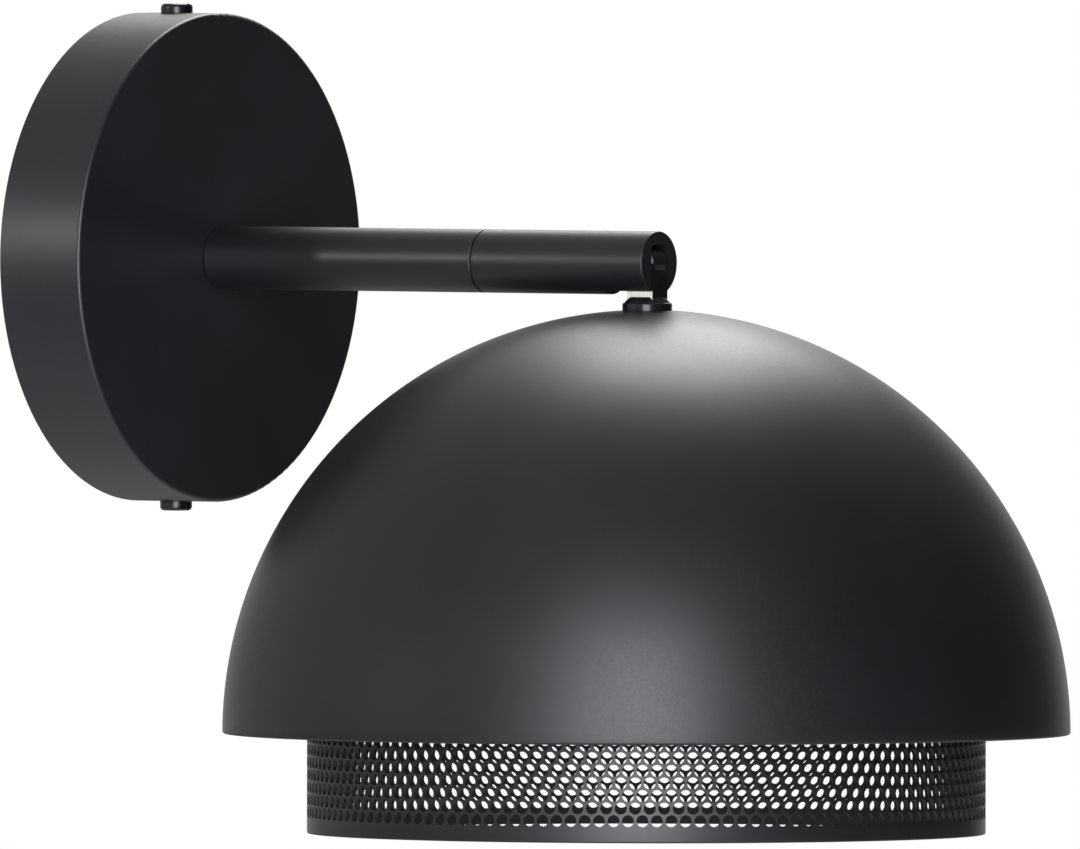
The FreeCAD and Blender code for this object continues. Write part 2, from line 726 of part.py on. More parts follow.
# Tongue, shade and what holds it --------------------------------------------------
def make_shade_stem():
    head = rod("tongue_head", "2 * tongue_head_radius", "tongue_thickness",
               x="-tongue_thickness / 2", y=SHADE_AXIS, along="X")
    soft_head = rounded("tongue_soft_head", head, "tongue_head_rounding",
                        lambda edge: isinstance(edge.Curve, Part.Circle))
    neck = block("tongue_neck", middle("tongue_thickness"),
                 (f"{SHADE_AXIS} - tongue_width / 2", "tongue_width"),
                 (f"-{SEAT_DROP}", f"{SEAT_DROP}"))
    cone = taper("foot_cone", "foot_diameter - 2 * foot_edge_radius",
                 "foot_cone_top_diameter", "foot_cone_height", **at_drop(FOOT_TOP_DROP))
    foot = rod("foot_disc", "foot_diameter", "foot_height", **at_drop(SEAT_DROP))
    soft_foot = rounded("soft_foot_disc", foot, "foot_edge_radius",
                        ring_edge("foot_diameter / 2", Vector(0, 0, 1),
                                  f"-{FOOT_TOP_DROP}"))
    stem = rod("stem_thread", "nipple_diameter", "stem_length", **at_drop(STEM_END_DROP))
    body = joined("stem_body", soft_head, neck, cone, soft_foot, stem)
    pivot_hole = rod("tongue_pivot_hole", "pivot_diameter + 2 * pivot_clearance",
                     "tongue_thickness", x="-tongue_thickness / 2", y=SHADE_AXIS,
                     along="X")
    channel = solid_feature("stem_channel", bent_pipe(
        lead_route(), value("lead_diameter + 2 * lead_clearance")))
    place(channel, y=SHADE_AXIS)
    return cut("shade_stem", body, pivot_hole, channel)


def make_stem_lead():
    route = lead_route()
    route[-1] = Vector(0, value("lead_end_behind_pivot"), 0)
    lead = solid_feature("stem_lead", bent_pipe(route, value("lead_diameter")))
    return place(lead, y=SHADE_AXIS)


def half_ball(name, diameter):
    thing = doc.addObject("Part::Sphere", name)
    thing.Angle1 = 0
    thing.Angle2 = 90
    bind(thing, Radius=f"({diameter}) / 2")
    return place(thing, **at_drop(RIM_DROP))


def make_dome_shade():
    outer = half_ball("dome_outer", "shade_diameter")
    inner = half_ball("dome_inner", "shade_diameter - 2 * shade_wall")
    above_flat = rod("dome_above_flat", "shade_diameter", "foot_height",
                     **at_drop(SEAT_DROP))
    stem_hole = rod("dome_stem_hole", "nipple_diameter + 2 * stem_hole_clearance",
                    f"{CAP_DROP} - {SEAT_DROP}", **at_drop(CAP_DROP))
    return cut("dome_shade", outer, inner, above_flat, stem_hole)


def make_shade_washer():
    return tube("shade_washer", "washer_diameter", "nipple_diameter + 2 * stem_hole_clearance",
                "washer_sheet", **at_drop(SHADE_NUT_DROP))


def make_shade_nut():
    return hex_nut("shade_nut", **at_drop(CAP_DROP))


# Lampholder ------------------------------------------------------------------------
def make_lampholder_cap():
    neck = rod("cap_neck", "cap_top_diameter", "cap_neck_height", **at_drop(CAP_TAPER_DROP))
    shoulder = taper("cap_shoulder", "cap_diameter", "cap_top_diameter", "cap_taper_height",
                     **at_drop(CAP_SKIRT_DROP))
    skirt = rod("cap_skirt", "cap_diameter", "cap_skirt_height", **at_drop(HOLDER_DROP))
    hollow = rod("cap_hollow", CAVITY_DIAMETER, "cap_skirt_height", **at_drop(HOLDER_DROP))
    thread = rod("cap_thread", "nipple_diameter", "cap_neck_height + cap_taper_height",
                 **at_drop(CAP_SKIRT_DROP))
    return cut("lampholder_cap", joined("cap_body", neck, shoulder, skirt), hollow, thread)


def make_lampholder_shell():
    barrel = rod("shell_barrel", "holder_diameter", f"{MOUTH_DROP} - {HOLDER_DROP}",
                 **at_drop(MOUTH_DROP))
    spigot = rod("shell_spigot", CAVITY_DIAMETER, "holder_spigot_length",
                 **at_drop(HOLDER_DROP))
    bore = rod("shell_bore", HOLDER_BORE,
               f"{MOUTH_DROP} - holder_lip_height - {HOLDER_DROP} + holder_spigot_length",
               **at_drop(f"{MOUTH_DROP} - holder_lip_height"))
    mouth = rod("shell_mouth", SLEEVE_DIAMETER, "holder_lip_height", **at_drop(MOUTH_DROP))
    return cut("lampholder_shell", joined("shell_body", barrel, spigot), bore, mouth)


def make_lampholder_core():
    disc = rod("core_disc", HOLDER_BORE, "core_height", **at_drop(SOCKET_DROP))
    skirt = tube("core_skirt", HOLDER_BORE, SLEEVE_DIAMETER, "core_skirt_height",
                 **at_drop(f"{SOCKET_DROP} + core_skirt_height"))
    body = joined("core_body", disc, skirt)
    post_hole = rod("core_post_hole", "contact_post_diameter", "core_height",
                    **at_drop(SOCKET_DROP))
    holes = [post_hole]
    for side, sign in (("left", "-"), ("right", "")):
        holes.append(rod(f"core_{side}_wire_hole", "wire_hole_diameter", "core_height",
                         x=f"{sign}wire_hole_offset", **at_drop(SOCKET_DROP)))
    return cut("lampholder_core", body, *holes)


def make_lamp_screw_sleeve():
    return tube("lamp_screw_sleeve", SLEEVE_DIAMETER, "socket_bore", "socket_length",
                **at_drop(f"{SLEEVE_DROP} + socket_length"))


def make_centre_contact():
    post = rod("contact_post", "contact_post_diameter", "core_height + contact_post_height",
               **at_drop(f"{SOCKET_DROP} + contact_post_height"))
    disc = rod("contact_disc", "contact_diameter", "contact_sheet", **at_drop(SLEEVE_DROP))
    return joined("centre_contact", post, disc)


def make_carrier_ring(name, drop):
    return tube(name, "ring_diameter", "holder_diameter", "ring_height",
                **at_drop(f"{drop} + ring_height"))


# Drum and its carrier ----------------------------------------------------------------
def around_shade(shape):
    """Copies of a shape, evenly spaced round the shade's axis."""
    for number in range(CARRIER_ARMS):
        copy = shape.copy()
        copy.rotate(Vector(), Vector(0, 0, 1), 360 / CARRIER_ARMS * number)
        yield copy


def make_drum_carrier():
    """A hub ring with flat arms whose ends fold down along the drum's inside."""
    sheet = value("carrier_sheet")
    top = -value(CARRIER_DROP)
    under = top - sheet
    width = value("carrier_arm_width")
    reach = value(DRUM_DIAMETER) / 2
    drop = value("carrier_tab_length")
    seat = value(DRUM_INNER_RADIUS)
    blank = Part.makeBox(reach, width, drop, Vector(0, -width / 2, top - drop))
    blank = blank.common(Part.makeCylinder(seat, drop, Vector(0, 0, top - drop)))
    blank = blank.cut(Part.makeCylinder(seat - sheet, drop - sheet, Vector(0, 0, top - drop)))
    hub = Part.makeCylinder(value("carrier_hub_diameter") / 2, sheet, Vector(0, 0, under))
    body = hub.fuse(list(around_shade(blank)))
    hole = value("holder_diameter") / 2 + value("carrier_hole_clearance")
    body = body.cut(Part.makeCylinder(hole, sheet, Vector(0, 0, under)))
    pins = list(around_shade(rivet_hole()))
    carrier = solid_feature("drum_carrier", body.cut(pins).removeSplitter())
    return place(carrier, y=SHADE_AXIS)


def rivet_hole():
    return Part.makeCylinder(value("rivet_diameter") / 2, value(DRUM_DIAMETER) / 2,
                             Vector(0, 0, -value(RIVET_DROP)), Vector(1, 0, 0))


def drum_openings():
    """A coarse staggered grid of round openings, which stands for the fine holes."""
    radius = value(DRUM_DIAMETER) / 2
    pitch = math.tau * radius / DRUM_COLUMNS
    opening = (pitch - value("drum_web")) / 2
    first = -value(f"{DRUM_BOTTOM_DROP} - drum_lower_hem") + opening
    for row in range(DRUM_ROWS):
        level = first + row * pitch * math.sqrt(3) / 2
        for column in range(DRUM_COLUMNS):
            turn = math.tau * (column + row % 2 / 2) / DRUM_COLUMNS
            yield Part.makeCylinder(opening, radius, Vector(0, 0, level),
                                    Vector(math.cos(turn), math.sin(turn), 0))


def make_perforated_drum():
    band = tube("drum_band", DRUM_DIAMETER, f"2 * {DRUM_INNER_RADIUS}", DRUM_HEIGHT,
                **at_drop(DRUM_BOTTOM_DROP))
    through = list(around_shade(rivet_hole())) + list(drum_openings())
    openings = solid_feature("drum_openings", Part.makeCompound(through))
    place(openings, y=SHADE_AXIS)
    return cut("perforated_drum", band, openings)


def make_drum_rivets():
    outside = value(DRUM_DIAMETER) / 2
    inside = value(DRUM_INNER_RADIUS) - value("carrier_sheet")
    level = -value(RIVET_DROP)
    outward = Vector(1, 0, 0)
    tail_end = inside - value("rivet_tail_height")
    head_radius = value("rivet_head_diameter") / 2
    shank = Part.makeCylinder(value("rivet_diameter") / 2, outside - tail_end,
                              Vector(tail_end, 0, level), outward)
    tail = Part.makeCylinder(value("rivet_tail_diameter") / 2, value("rivet_tail_height"),
                             Vector(tail_end, 0, level), outward)
    bite = value("drum_wall") / 2
    head = Part.makeCylinder(head_radius, value("rivet_head_height") + bite,
                             Vector(outside - bite, 0, level), outward)
    head = head.cut(Part.makeCylinder(outside, value(DRUM_HEIGHT),
                                      Vector(0, 0, level - value(DRUM_HEIGHT) / 2)))
    inner_face = Part.makeCylinder(inside, value(DRUM_HEIGHT),
                                   Vector(0, 0, level - value(DRUM_HEIGHT) / 2))
    rivet = shank.fuse([head, tail.common(inner_face)]).removeSplitter()
    rivets = solid_feature("drum_rivets", Part.makeCompound(list(around_shade(rivet))))
    return place(rivets, y=SHADE_AXIS)


PIECES = [
    make_wall_cup(),
    make_wall_bracket(),
    make_cover_screws(),
    make_terminal_block(),
    make_terminal_screws(),
    make_terminal_fixing_screw(),
    make_earth_screw(),
    make_earth_washer(),
    make_arm_nipple(),
    make_arm_washer(),
    make_arm_lock_nut(),
    make_arm_root_insert(),
    make_arm_tube(),
    make_arm_front_bush(),
    make_arm_lead(),
    make_swivel_spigot(),
    make_swivel_stop_pin(),
    make_swivel_washer(),
    make_swivel_nut(),
    make_arm_head(),
    make_pivot_screw(),
    make_friction_washers(),
    make_head_lead(),
    make_shade_stem(),
    make_stem_lead(),
    make_dome_shade(),
    make_shade_washer(),
    make_shade_nut(),
    make_lampholder_cap(),
    make_lampholder_shell(),
    make_lampholder_core(),
    make_lamp_screw_sleeve(),
    make_centre_contact(),
    make_carrier_ring("upper_carrier_ring", UPPER_RING_DROP),
    make_carrier_ring("lower_carrier_ring", LOWER_RING_DROP),
    make_drum_carrier(),
    make_perforated_drum(),
    make_drum_rivets(),
]

doc.recompute()

for thing in doc.Objects:
    if "Invalid" in thing.State or "Error" in thing.State:
        raise ValueError(f"{thing.Name} did not build: {thing.State}")
for piece in PIECES:
    if piece.Shape.isNull() or not piece.Shape.isValid() or not piece.Shape.Solids:
        raise ValueError(f"{piece.Name} has no valid shape")

os.makedirs("parts", exist_ok=True)
for piece in PIECES:
    piece.Shape.exportStep(f"parts/{piece.Name}.step")
    print(f"{piece.Name}: {len(piece.Shape.Solids)} solids, {piece.Shape.Volume:.1f} mm3")
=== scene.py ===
import json
import math

import bpy
from mathutils import Matrix, Vector


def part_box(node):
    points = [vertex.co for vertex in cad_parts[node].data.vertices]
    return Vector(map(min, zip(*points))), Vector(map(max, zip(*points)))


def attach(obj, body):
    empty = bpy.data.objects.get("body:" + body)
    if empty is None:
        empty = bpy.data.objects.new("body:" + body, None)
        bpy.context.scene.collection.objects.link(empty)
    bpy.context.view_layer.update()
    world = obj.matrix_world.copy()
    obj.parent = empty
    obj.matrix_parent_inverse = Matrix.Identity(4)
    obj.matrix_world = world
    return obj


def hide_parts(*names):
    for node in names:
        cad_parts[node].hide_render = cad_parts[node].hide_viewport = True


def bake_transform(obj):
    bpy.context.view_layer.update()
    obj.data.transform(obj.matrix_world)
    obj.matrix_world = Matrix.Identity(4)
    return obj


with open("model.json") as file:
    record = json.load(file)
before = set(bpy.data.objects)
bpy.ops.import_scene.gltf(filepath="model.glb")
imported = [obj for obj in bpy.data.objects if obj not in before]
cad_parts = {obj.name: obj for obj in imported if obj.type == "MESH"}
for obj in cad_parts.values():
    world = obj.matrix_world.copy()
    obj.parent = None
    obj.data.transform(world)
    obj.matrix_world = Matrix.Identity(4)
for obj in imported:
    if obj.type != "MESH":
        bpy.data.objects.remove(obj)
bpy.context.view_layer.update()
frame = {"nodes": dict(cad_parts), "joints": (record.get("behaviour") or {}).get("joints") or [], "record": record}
nodes = frame["nodes"]

MM = 0.001
UP = Vector((0, 0, 1))

# Places and sizes taken from the frame --------------------------------------------------
DOME_LOW, DOME_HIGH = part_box("dome_shade")
DRUM_LOW, DRUM_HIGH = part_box("perforated_drum")
STEM_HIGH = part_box("shade_stem")[1]
HEAD_LEAD_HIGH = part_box("head_lead")[1]
STEM_LEAD_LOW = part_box("stem_lead")[0]
RIVETS_LOW, RIVETS_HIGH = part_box("drum_rivets")
SHADE_AXIS = Vector((0, (DOME_LOW.y + DOME_HIGH.y) / 2, 0))
PIVOT = frame["joints"][1]["pos_m"]


# Mesh making ----------------------------------------------------------------------------
def new_piece(name, vertices, faces, sharp_angle=40):
    """A shaded mesh object in the row frame, with crisp edges past one angle."""
    mesh = bpy.data.meshes.new(name)
    mesh.from_pydata(vertices, [], faces)
    mesh.validate()
    mesh.shade_smooth()
    mesh.set_sharp_from_angle(angle=math.radians(sharp_angle))
    mesh.update()
    piece = bpy.data.objects.new(name, mesh)
    bpy.context.scene.collection.objects.link(piece)
    return piece


def arc(centre, radius, start, end, steps):
    """Points (r, z) on a circle's arc between two angles in degrees."""
    points = []
    for step in range(steps + 1):
        angle = math.radians(start + (end - start) * step / steps)
        points.append((centre[0] + radius * math.cos(angle),
                       centre[1] + radius * math.sin(angle)))
    return points


def revolved(name, profile, axis, segments):
    """A closed profile of (r, z) points turned round an upright axis."""
    count = len(profile)
    vertices = []
    for segment in range(segments):
        angle = math.tau * segment / segments
        for radius, height in profile:
            vertices.append((axis.x + radius * math.cos(angle),
                             axis.y + radius * math.sin(angle), height))
    faces = []
    for segment in range(segments):
        here = segment * count
        ahead = (segment + 1) % segments * count
        for point in range(count):
            other = (point + 1) % count
            faces.append((here + point, ahead + point, ahead + other, here + other))
    return new_piece(name, vertices, faces)


# Dome -----------------------------------------------------------------------------------
DOME_SEGMENTS = 256
DOME_STEPS = 72
DOME_RIM_STEPS = 6
SHADE_WALL = 1.2 * MM
STEM_HOLE_RADIUS = 5.1 * MM


def make_dome():
    """The dome's skin with a seat for the foot, a stem hole and a round rim."""
    outer = (DOME_HIGH.x - DOME_LOW.x) / 2
    inner = outer - SHADE_WALL
    centre = DOME_LOW.z
    seat = math.degrees(math.asin((DOME_HIGH.z - centre) / outer))
    hole = math.degrees(math.acos(STEM_HOLE_RADIUS / inner))
    bead = SHADE_WALL / 2
    lift = math.degrees(bead / outer)
    profile = [(STEM_HOLE_RADIUS, DOME_HIGH.z)]
    profile += arc((0, centre), outer, seat, lift, DOME_STEPS)
    profile += arc((outer - bead, centre + bead), bead, 0, -180, DOME_RIM_STEPS)[1:-1]
    profile += arc((0, centre), inner, lift, hole, DOME_STEPS)
    return revolved("dome_skin", profile, SHADE_AXIS, DOME_SEGMENTS)


# Drum -----------------------------------------------------------------------------------
HOLES_ROUND = 148
HOLE_DIAMETER = 2.86 * MM
DRUM_WALL = 0.8 * MM
LAST_ROW_ABOVE_EDGE = 5.2 * MM
TOP_HEM = 3.4 * MM
RIVET_SPREAD = 4.4 * MM
CELL_CORNERS = ((2, 0), (2, 2), (1, 3), (0, 4), (-1, 3), (-2, 2),
                (-2, 0), (-2, -2), (-1, -3), (0, -4), (1, -3), (2, -2))
QUARTERS = 4 * HOLES_ROUND
ROW_EIGHTHS = 6
EDGE_STEPS = 4


class DrumMesh:
    """A band of six-sided cells, each with a round hole, between two hems."""

    def __init__(self):
        self.outer = (DRUM_HIGH.x - DRUM_LOW.x) / 2
        self.pitch = math.tau * self.outer / HOLES_ROUND
        self.cell_height = 2 * self.pitch / math.sqrt(3)
        self.eighth = self.cell_height / 8
        self.first_row = DRUM_LOW.z + LAST_ROW_ABOVE_EDGE
        usable = DRUM_HIGH.z - TOP_HEM - self.first_row
        self.rows = int(usable / (ROW_EIGHTHS * self.eighth)) + 1
        self.vertices = []
        self.faces = []
        self.shared = {}

    def point(self, radius, turn, height):
        angle = turn * math.tau
        self.vertices.append((SHADE_AXIS.x + radius * math.cos(angle),
                              SHADE_AXIS.y + radius * math.sin(angle), height))
        return len(self.vertices) - 1

    def grid_point(self, side, quarter, eighth):
        """One corner of the cell grid, made once for all the cells that meet there."""
        quarter %= QUARTERS
        key = (side, quarter, eighth)
        if key not in self.shared:
            radius = self.outer - side * DRUM_WALL
            self.shared[key] = self.point(radius, quarter / QUARTERS,
                                          self.first_row + eighth * self.eighth)
        return self.shared[key]

    def skin(self, side, corners):
        self.faces.append(corners if side == 0 else corners[::-1])

    def cell(self, column, row):
        quarter = 4 * column + 2 * (row % 2)
        eighth = ROW_EIGHTHS * row
        plain = self.under_rivet(quarter, eighth)
        rings = []
        for side in (0, 1):
            border = [self.grid_point(side, quarter + across, eighth + up)
                      for across, up in CELL_CORNERS]
            if plain:
                self.skin(side, border)
                continue
            ring = self.hole_ring(side, quarter, eighth)
            rings.append(ring)
            for now, after in around(len(ring)):
                self.skin(side, [border[now], border[after], ring[after], ring[now]])
        if rings:
            outside, inside = rings
            for now, after in around(len(outside)):
                self.faces.append([outside[now], outside[after], inside[after],
                                   inside[now]])

    def hole_ring(self, side, quarter, eighth):
        radius = self.outer - side * DRUM_WALL
        count = len(CELL_CORNERS)
        ring = []
        for number in range(count):
            angle = math.tau * number / count
            across = HOLE_DIAMETER / 2 * math.cos(angle) / (math.tau * self.outer)
            up = HOLE_DIAMETER / 2 * math.sin(angle)
            ring.append(self.point(radius, quarter / QUARTERS + across,
                                   self.first_row + eighth * self.eighth + up))
        return ring

    def under_rivet(self, quarter, eighth):
        height = self.first_row + eighth * self.eighth
        level = (RIVETS_LOW.z + RIVETS_HIGH.z) / 2
        turn = quarter / QUARTERS
        nearest = min(abs((turn - third / 3 + 0.5) % 1 - 0.5) for third in range(3))
        return math.hypot(nearest * math.tau * self.outer, height - level) < RIVET_SPREAD

    def border_eighth(self, quarter, row, upper):
        """How far a cell row's zigzag border is from the row's centre line."""
        phase = (quarter - 2 * (row % 2)) % 4
        reach = 4 - min(phase, 4 - phase)
        return ROW_EIGHTHS * row + (reach if upper else -reach)

    def hems(self):
        """Plain bands from the first and last rows to the two rounded edges."""
        for row, edge, turn in ((0, DRUM_LOW.z, -1), (self.rows - 1, DRUM_HIGH.z, 1)):
            bead = DRUM_WALL / 2
            lip = arc((self.outer - bead, edge - turn * bead), bead, 0, 180 * turn,
                      2 * EDGE_STEPS)
            for quarter in range(QUARTERS):
                self.hem_strip(quarter, row, lip, turn)

    def lip_point(self, turn, quarter, number, lip):
        quarter %= QUARTERS
        key = ("lip", turn, quarter, number)
        if key not in self.shared:
            radius, height = lip[number]
            self.shared[key] = self.point(radius, quarter / QUARTERS, height)
        return self.shared[key]

    def hem_strip(self, quarter, row, lip, turn):
        columns = []
        for step in (quarter, quarter + 1):
            eighth = self.border_eighth(step, row, turn > 0)
            column = [self.grid_point(0, step, eighth)]
            column += [self.lip_point(turn, step, number, lip)
                       for number in range(len(lip))]
            column.append(self.grid_point(1, step, eighth))
            columns.append(column)
        here, ahead = columns
        for number in range(len(here) - 1):
            corners = [here[number], ahead[number], ahead[number + 1], here[number + 1]]
            self.faces.append(corners[::-1] if turn < 0 else corners)

    def build(self):
        for row in range(self.rows):
            for column in range(HOLES_ROUND):
                self.cell(column, row)
        self.hems()
        return new_piece("perforated_drum_mesh", self.vertices, self.faces)


def around(count):
    return [(number, (number + 1) % count) for number in range(count)]


# Lead through the pivot -----------------------------------------------------------------
LEAD_RADIUS = 1.5 * MM
LEAD_BEND_DROP = 5.2 * MM
LEAD_SIDES = 16
LEAD_BEND_STEPS = 10
BEND_BEGINS = 0.9
BEND_ENDS = 0.12


def lead_line():
    """The lead's centre line: along the arm, round the pivot and down the stem."""
    pivot = Vector(PIVOT)
    rear = Vector((0, HEAD_LEAD_HIGH.y, 0))
    turn_in = pivot + Vector((0, LEAD_BEND_DROP, 0))
    turn_down = pivot - Vector((0, 0, LEAD_BEND_DROP))
    foot = Vector((0, pivot.y, STEM_LEAD_LOW.z))
    middle = (turn_in + turn_down) / 2
    line = [rear, rear.lerp(turn_in, BEND_BEGINS)]
    for before, corner, after in ((line[-1], turn_in, middle),
                                  (middle, turn_down, turn_down.lerp(foot, BEND_ENDS))):
        for step in range(1, LEAD_BEND_STEPS + 1):
            share = step / LEAD_BEND_STEPS
            line.append(before.lerp(corner, share).lerp(corner.lerp(after, share), share))
    line.append(foot)
    return line


def swept(name, line, radius, sides):
    """A round tube with flat ends along points that lie in one upright plane."""
    vertices = []
    across = Vector((1, 0, 0))
    for number, point in enumerate(line):
        before = line[max(number - 1, 0)]
        after = line[min(number + 1, len(line) - 1)]
        ahead = (after - before).normalized()
        upward = across.cross(ahead)
        for side in range(sides):
            angle = math.tau * side / sides
            vertices.append(point + radius * (math.cos(angle) * across
                                              + math.sin(angle) * upward))
    faces = [list(range(sides))[::-1],
             [len(vertices) - sides + side for side in range(sides)]]
    for ring in range(len(line) - 1):
        for now, after in around(sides):
            start = ring * sides
            faces.append((start + now, start + after, start + sides + after,
                          start + sides + now))
    return new_piece(name, vertices, faces)


# Materials ------------------------------------------------------------------------------
RED_LEAN = 1.1
BLUE_LEAN = 1.25
CLOUD_SIZE = 40 * MM
SPECK_SIZE = 0.25 * MM
PEEL_DEPTH = 0.012 * MM
COAT_SPECULAR = 0.6
AXIS_BLEND = 5 * MM
BRAID_LEAN = 38
BRAID_SCALE = 420
TONGUE_FOOT = STEM_HIGH.z - 13.2 * MM
# The tongue's near-white side patch is bare milled metal and also a painted reflection of a bright lamp; these
# constants set where it lies and how metallic it is.
BARE_AND_REFLECTION_REACH = 4.6 * MM
BARE_AND_REFLECTION_TOP = PIVOT[2] - 6.8 * MM
BARE_AND_REFLECTION_FADE = 0.3 * MM
BARE_AND_REFLECTION_METALLIC = 0.5


class Paint:
    """A material's node tree, with short words for the nodes that it needs."""

    def __init__(self, name):
        self.material = bpy.data.materials.new(name)
        self.material.use_nodes = True
        self.tree = self.material.node_tree
        self.shader = self.tree.nodes["Principled BSDF"]
        self.where = self.add("ShaderNodeTexCoord").outputs

    def add(self, kind, **settings):
        node = self.tree.nodes.new(kind)
        for name, setting in settings.items():
            setattr(node, name, setting)
        return node

    def feed(self, socket, source):
        if isinstance(source, (int, float, tuple)):
            socket.default_value = source
        else:
            self.tree.links.new(source, socket)

    def noise(self, size, detail=3.0, roughness=0.5, stretch=(1, 1, 1)):
        """Noise from 0 to 1 whose features are about one size, in metres."""
        mapping = self.add("ShaderNodeMapping")
        self.feed(mapping.inputs["Vector"], self.where["Object"])
        mapping.inputs["Scale"].default_value = stretch
        node = self.add("ShaderNodeTexNoise")
        self.feed(node.inputs["Vector"], mapping.outputs[0])
        node.inputs["Scale"].default_value = 1 / size
        node.inputs["Detail"].default_value = detail
        node.inputs["Roughness"].default_value = roughness
        return node.outputs["Fac"]

    def between(self, source, low, high, start=0.35, end=0.65):
        """A number from low to high as the source goes from start to end."""
        node = self.add("ShaderNodeMapRange")
        self.feed(node.inputs["Value"], source)
        for name, number in (("From Min", start), ("From Max", end),
                             ("To Min", low), ("To Max", high)):
            node.inputs[name].default_value = number
        return node.outputs["Result"]

    def colours(self, source, first, second, start=0.35, end=0.65):
        """A colour from first to second as the source goes from start to end."""
        node = self.add("ShaderNodeMix", data_type="RGBA")
        self.feed(node.inputs["Factor"], self.between(source, 0, 1, start, end))
        self.feed(node.inputs["A"], first)
        self.feed(node.inputs["B"], second)
        return node.outputs["Result"]

    def maths(self, operation, *sources):
        node = self.add("ShaderNodeMath", operation=operation)
        for socket, source in zip(node.inputs, sources):
            self.feed(socket, source)
        return node.outputs[0]

    def relief(self, height, depth, strength=1.0):
        """Bump of one depth, in metres, from a height between 0 and 1."""
        node = self.add("ShaderNodeBump")
        self.feed(node.inputs["Height"], height)
        node.inputs["Distance"].default_value = depth
        node.inputs["Strength"].default_value = strength
        self.feed(self.shader.inputs["Normal"], node.outputs["Normal"])

    def finish(self, colour, roughness, **constants):
        self.feed(self.shader.inputs["Base Color"], colour)
        self.feed(self.shader.inputs["Roughness"], roughness)
        for name, number in constants.items():
            self.shader.inputs[name.replace("_", " ")].default_value = number
        return self.material


def ink(level):
    """A near-black in linear light that leans a little to violet."""
    return (level * RED_LEAN, level, level * BLUE_LEAN, 1.0)


def facing_axis(paint):
    """1 on the faces that look towards the shade's axis, 0 on those that look out."""
    outward = paint.add("ShaderNodeVectorMath", operation="SUBTRACT")
    paint.feed(outward.inputs[0], paint.where["Object"])
    outward.inputs[1].default_value = SHADE_AXIS
    level = paint.add("ShaderNodeVectorMath", operation="MULTIPLY")
    paint.feed(level.inputs[0], outward.outputs[0])
    level.inputs[1].default_value = (1, 1, 0)
    lean = paint.add("ShaderNodeVectorMath", operation="DOT_PRODUCT")
    paint.feed(lean.inputs[0], level.outputs[0])
    paint.feed(lean.inputs[1], paint.where["Normal"])
    return paint.between(lean.outputs["Value"], 1, 0, -AXIS_BLEND, AXIS_BLEND)


def powder_coat(name, level, low_roughness, high_roughness, peel=0.7 * MM, dull_inside=0.0):
    """Satin black powder coat: near-black, with a fine orange-peel skin."""
    paint = Paint(name)
    cloud = paint.noise(CLOUD_SIZE)
    skin = paint.noise(peel, detail=2.0)
    speck = paint.noise(SPECK_SIZE, detail=1.0)
    tone = paint.colours(cloud, ink(level * 0.85), ink(level * 1.15))
    tone = paint.colours(speck, tone, ink(level * 1.9), 0.62, 0.8)
    rough = paint.maths("ADD", paint.between(cloud, low_roughness, high_roughness),
                        paint.between(skin, -0.02, 0.02))
    if dull_inside:
        rough = paint.maths("ADD", rough,
                            paint.maths("MULTIPLY", facing_axis(paint), dull_inside))
    paint.relief(paint.maths("ADD", skin, paint.maths("MULTIPLY", speck, 0.3)),
                 PEEL_DEPTH, 0.6)
    return paint.finish(tone, rough, Specular_IOR_Level=COAT_SPECULAR)


def plated(name, light, dark, low_roughness, high_roughness, grain):
    """Plated or turned metal: a cloudy tone and a fine directional grain."""
    paint = Paint(name)
    cloud = paint.noise(6 * MM)
    line = paint.noise(0.3 * MM, detail=4.0, stretch=grain)
    tone = paint.colours(cloud, dark, light)
    rough = paint.maths("ADD", paint.between(cloud, low_roughness, high_roughness),
                        paint.between(line, -0.05, 0.05))
    paint.relief(line, 0.006 * MM, 0.5)
    return paint.finish(tone, rough, Metallic=1.0)


def moulded(name, light, dark, low_roughness, high_roughness, pit=0.4 * MM):
    """Moulded plastic: even colour with slight flow marks and a fine skin."""
    paint = Paint(name)
    flow = paint.noise(9 * MM, stretch=(1, 1, 2.5))
    skin = paint.noise(pit, detail=2.0)
    tone = paint.colours(flow, dark, light)
    rough = paint.between(flow, low_roughness, high_roughness)
    paint.relief(skin, 0.01 * MM, 0.5)
    return paint.finish(tone, rough)


def ceramic(name):
    """Unglazed ceramic: off-white with sparse darker grains and a chalky skin."""
    paint = Paint(name)
    grain = paint.noise(0.35 * MM, detail=3.0)
    cloud = paint.noise(7 * MM)
    tone = paint.colours(cloud, (0.80, 0.78, 0.72, 1), (0.88, 0.87, 0.83, 1))
    tone = paint.colours(grain, tone, (0.55, 0.51, 0.45, 1), 0.68, 0.78)
    paint.relief(grain, 0.03 * MM, 0.6)
    return paint.finish(tone, paint.between(cloud, 0.55, 0.7))


def woven_sleeve(name):
    """Cream silicone lead sleeve with a fine crossed braid."""
    paint = Paint(name)
    waves = []
    for lean in (1, -1):
        mapping = paint.add("ShaderNodeMapping")
        paint.feed(mapping.inputs["Vector"], paint.where["Object"])
        mapping.inputs["Rotation"].default_value = (0, 0, lean * math.radians(BRAID_LEAN))
        wave = paint.add("ShaderNodeTexWave", bands_direction="X")
        paint.feed(wave.inputs["Vector"], mapping.outputs[0])
        wave.inputs["Scale"].default_value = BRAID_SCALE
        wave.inputs["Distortion"].default_value = 0.6
        waves.append(wave.outputs["Fac"])
    braid = paint.maths("MAXIMUM", *waves)
    soil = paint.noise(5 * MM)
    tone = paint.colours(braid, (0.56, 0.50, 0.37, 1), (0.80, 0.75, 0.62, 1), 0.2, 0.9)
    paint.relief(braid, 0.08 * MM, 0.7)
    return paint.finish(tone, paint.between(soil, 0.6, 0.75))


